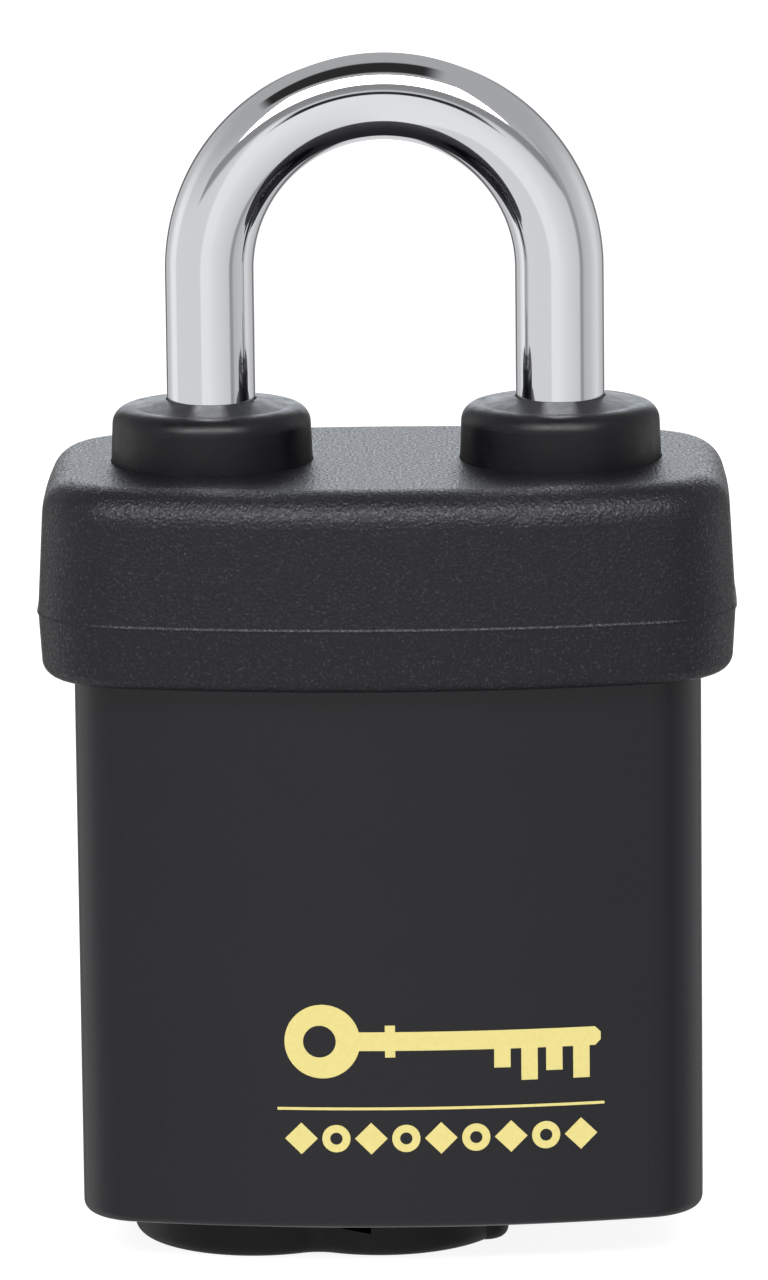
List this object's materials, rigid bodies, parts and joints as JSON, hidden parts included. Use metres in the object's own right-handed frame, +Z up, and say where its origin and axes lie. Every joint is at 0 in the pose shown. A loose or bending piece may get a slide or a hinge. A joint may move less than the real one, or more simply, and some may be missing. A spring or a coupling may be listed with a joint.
{
  "type": "weather-jacketed padlock",
  "caption": "Padlock with a round chrome shackle, moulded cap and jacket over a steel body, rubber shackle seals, turning key plug, locking balls and a swinging keyway cover.",
  "frame": {"origin": "on the surface the padlock stands on, under the middle of the body", "axes": "+Z up through the shackle, +X across the width, -Y is the marked front face"},
  "size_m": [0.0622, 0.0398, 0.1073],
  "materials": {
    "jacket_plastic": "satin moulded black nylon",
    "cap_plastic": "spark-eroded grain moulded black nylon",
    "cover_plastic": "smooth moulded black nylon",
    "seal_rubber": "smooth black rubber",
    "shackle_chrome": "polished chrome plate",
    "body_steel": "machined, grey passivated",
    "hardened_steel": "ground",
    "spring_steel": "drawn wire and strip",
    "screw_steel": "black oxide",
    "cylinder_brass": "turned brass",
    "plug_brass": "nickel plated brass",
    "pin_nickel_silver": "turned nickel silver"
  },
  "bodies": {
    "housing": {"lower_jacket": "jacket_plastic", "top_cap": "cap_plastic", "toe_seal": "seal_rubber", "heel_seal": "seal_rubber", "lock_body": "body_steel", "ball_channel_plug": "body_steel", "shackle_retaining_pin": "spring_steel", "cylinder_screw": "screw_steel", "heel_spring": "spring_steel", "cylinder_shell": "cylinder_brass", "driver_pins": "pin_nickel_silver", "pin_springs": "spring_steel", "pin_chamber_cover": "cylinder_brass", "shell_drill_pins": "hardened_steel", "cover_screw": "screw_steel", "cover_spring_washer": "spring_steel"},
    "shackle": {"shackle": "shackle_chrome"},
    "plug": {"key_plug": "plug_brass", "bottom_pins": "pin_nickel_silver", "sidebar": "plug_brass", "sidebar_springs": "spring_steel", "plug_drill_pins": "hardened_steel", "plug_clip": "spring_steel", "tail_blade": "hardened_steel", "actuator": "hardened_steel"},
    "toe_ball": {"toe_ball": "hardened_steel"},
    "heel_ball": {"heel_ball": "hardened_steel"},
    "cover": {"keyway_cover": "cover_plastic"}
  },
  "joints": [
    {"name": "shackle_lift", "type": "slide", "parent": "housing", "child": "shackle", "axis": [0, 0, 1], "range_m": [0, 0.0233], "deforming": ["heel_spring"]},
    {"name": "plug_turn", "type": "hinge", "parent": "housing", "child": "plug", "pos_m": [0, 0, 0.02], "axis": [0, 0, 1], "range_deg": [-90, 0]},
    {"name": "toe_ball_slide", "type": "slide", "parent": "housing", "child": "toe_ball", "axis": [-1, 0, 0], "range_m": [0, 0.00185]},
    {"name": "heel_ball_slide", "type": "slide", "parent": "housing", "child": "heel_ball", "axis": [1, 0, 0], "range_m": [0, 0.00185]},
    {"name": "cover_swing", "type": "hinge", "parent": "housing", "child": "cover", "pos_m": [-0.0185, 0, 0.002], "axis": [0, 0, 1], "range_deg": [-110, 110]}
  ],
  "couplings": [
    {"joint": "toe_ball_slide", "follows": "plug_turn", "m_per_rad": -0.0011777},
    {"joint": "heel_ball_slide", "follows": "plug_turn", "m_per_rad": -0.0011777}
  ]
}
